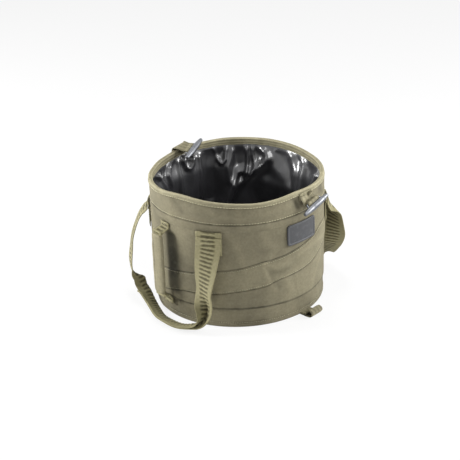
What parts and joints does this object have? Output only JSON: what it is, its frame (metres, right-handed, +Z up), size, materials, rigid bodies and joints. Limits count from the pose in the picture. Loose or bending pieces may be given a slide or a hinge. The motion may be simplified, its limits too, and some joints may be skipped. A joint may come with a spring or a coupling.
{
  "type": "collapsible bucket",
  "caption": "Collapsible cloth water bucket on a sprung steel coil, with webbing carry handles, a padded grab handle and metal toggles that hold it pressed flat.",
  "frame": {"origin": "centre of the underside of the base, on the ground", "axes": "+Z up along the bucket's axis, -Y towards the front, where the badge and the front toggle are"},
  "size_m": [0.3205, 0.2996, 0.204],
  "materials": {
    "coated_cloth": "matt coated weave",
    "webbing": "ribbed webbing",
    "liner": "glossy waterproof film",
    "spring_steel": "drawn wire",
    "toggle_metal": "satin",
    "badge_rubber": "matt moulded"
  },
  "bodies": {
    "base": {"base_panel": "coated_cloth", "base_band": "coated_cloth", "base_hoop": "spring_steel", "liner_floor": "liner", "liner_wall": "liner", "coil_spring": "spring_steel", "spiral_sleeve": "coated_cloth", "grab_handle_webbing": "webbing", "grab_handle_sleeve": "coated_cloth", "front_tab_root": "webbing", "rear_tab_root": "webbing"},
    "lower_wall": {"wall_panel_lower": "coated_cloth"},
    "middle_wall": {"wall_panel_middle": "coated_cloth"},
    "upper_wall": {"wall_panel_upper": "coated_cloth", "badge": "badge_rubber", "left_handle_front_end": "webbing", "left_handle_rear_end": "webbing", "right_handle_front_end": "webbing", "right_handle_rear_end": "webbing"},
    "rim": {"collar": "coated_cloth", "rim_binding": "webbing", "rim_hoop": "spring_steel", "front_strap_end": "webbing", "rear_strap_end": "webbing"},
    "left_handle": {"left_handle_webbing": "webbing"},
    "right_handle": {"right_handle_webbing": "webbing"},
    "front_strap": {"front_toggle_strap": "webbing"},
    "front_toggle_bar": {"front_toggle": "toggle_metal"},
    "rear_strap": {"rear_toggle_strap": "webbing"},
    "rear_toggle_bar": {"rear_toggle": "toggle_metal"},
    "front_tab": {"front_base_tab": "webbing"},
    "rear_tab": {"rear_base_tab": "webbing"}
  },
  "joints": [
    {"name": "frame_collapse", "type": "slide", "parent": "base", "child": "rim", "axis": [0, 0, -1], "range_m": [0, 0.133], "stiffness_N_per_m": 80, "springref_m": -0.12, "deforming": ["liner_wall", "coil_spring", "spiral_sleeve", "grab_handle_webbing", "grab_handle_sleeve"]},
    {"name": "lower_wall_slide", "type": "slide", "parent": "base", "child": "lower_wall", "axis": [0, 0, -1], "range_m": [0, 0.02401]},
    {"name": "middle_wall_slide", "type": "slide", "parent": "base", "child": "middle_wall", "axis": [0, 0, -1], "range_m": [0, 0.06501]},
    {"name": "upper_wall_slide", "type": "slide", "parent": "base", "child": "upper_wall", "axis": [0, 0, -1], "range_m": [0, 0.10601]},
    {"name": "left_handle_swing", "type": "hinge", "parent": "upper_wall", "child": "left_handle", "pos_m": [-0.1178, 0.0229, 0.15], "axis": [0.1908, 0.9816, 0], "range_deg": [0, 165]},
    {"name": "right_handle_swing", "type": "hinge", "parent": "upper_wall", "child": "right_handle", "pos_m": [0.1178, -0.0229, 0.15], "axis": [-0.1908, -0.9816, 0], "range_deg": [0, 150]},
    {"name": "front_strap_flap", "type": "hinge", "parent": "rim", "child": "front_strap", "pos_m": [0.0081, -0.13235, 0.19], "axis": [-0.9981, -0.0611, 0], "range_deg": [0, 140]},
    {"name": "front_toggle_swing", "type": "hinge", "parent": "front_strap", "child": "front_toggle_bar", "pos_m": [0.01085, -0.13799, 0.17974], "axis": [-0.9744, -0.0852, -0.2079], "range_deg": [0, 60]},
    {"name": "rear_strap_flap", "type": "hinge", "parent": "rim", "child": "rear_strap", "pos_m": [0.01017, 0.13221, 0.19], "axis": [-0.9971, 0.0767, 0], "range_deg": [0, 175]},
    {"name": "rear_toggle_swing", "type": "hinge", "parent": "rear_strap", "child": "rear_toggle_bar", "pos_m": [0.01665, 0.1136, 0.19637], "axis": [-0.9202, -0.3551, -0.165], "range_deg": [0, 60]},
    {"name": "front_tab_lift", "type": "hinge", "parent": "base", "child": "front_tab", "pos_m": [0.00469, -0.13422, 0.0033], "axis": [-0.9994, -0.0349, 0], "range_deg": [0, 45]},
    {"name": "rear_tab_lift", "type": "hinge", "parent": "base", "child": "rear_tab", "pos_m": [-0.00469, 0.13422, 0.0033], "axis": [0.9994, 0.0349, 0], "range_deg": [0, 45]}
  ],
  "couplings": [
    {"joint": "lower_wall_slide", "follows": "frame_collapse", "ratio": 0.18045},
    {"joint": "middle_wall_slide", "follows": "frame_collapse", "ratio": 0.48872},
    {"joint": "upper_wall_slide", "follows": "frame_collapse", "ratio": 0.79699}
  ]
}
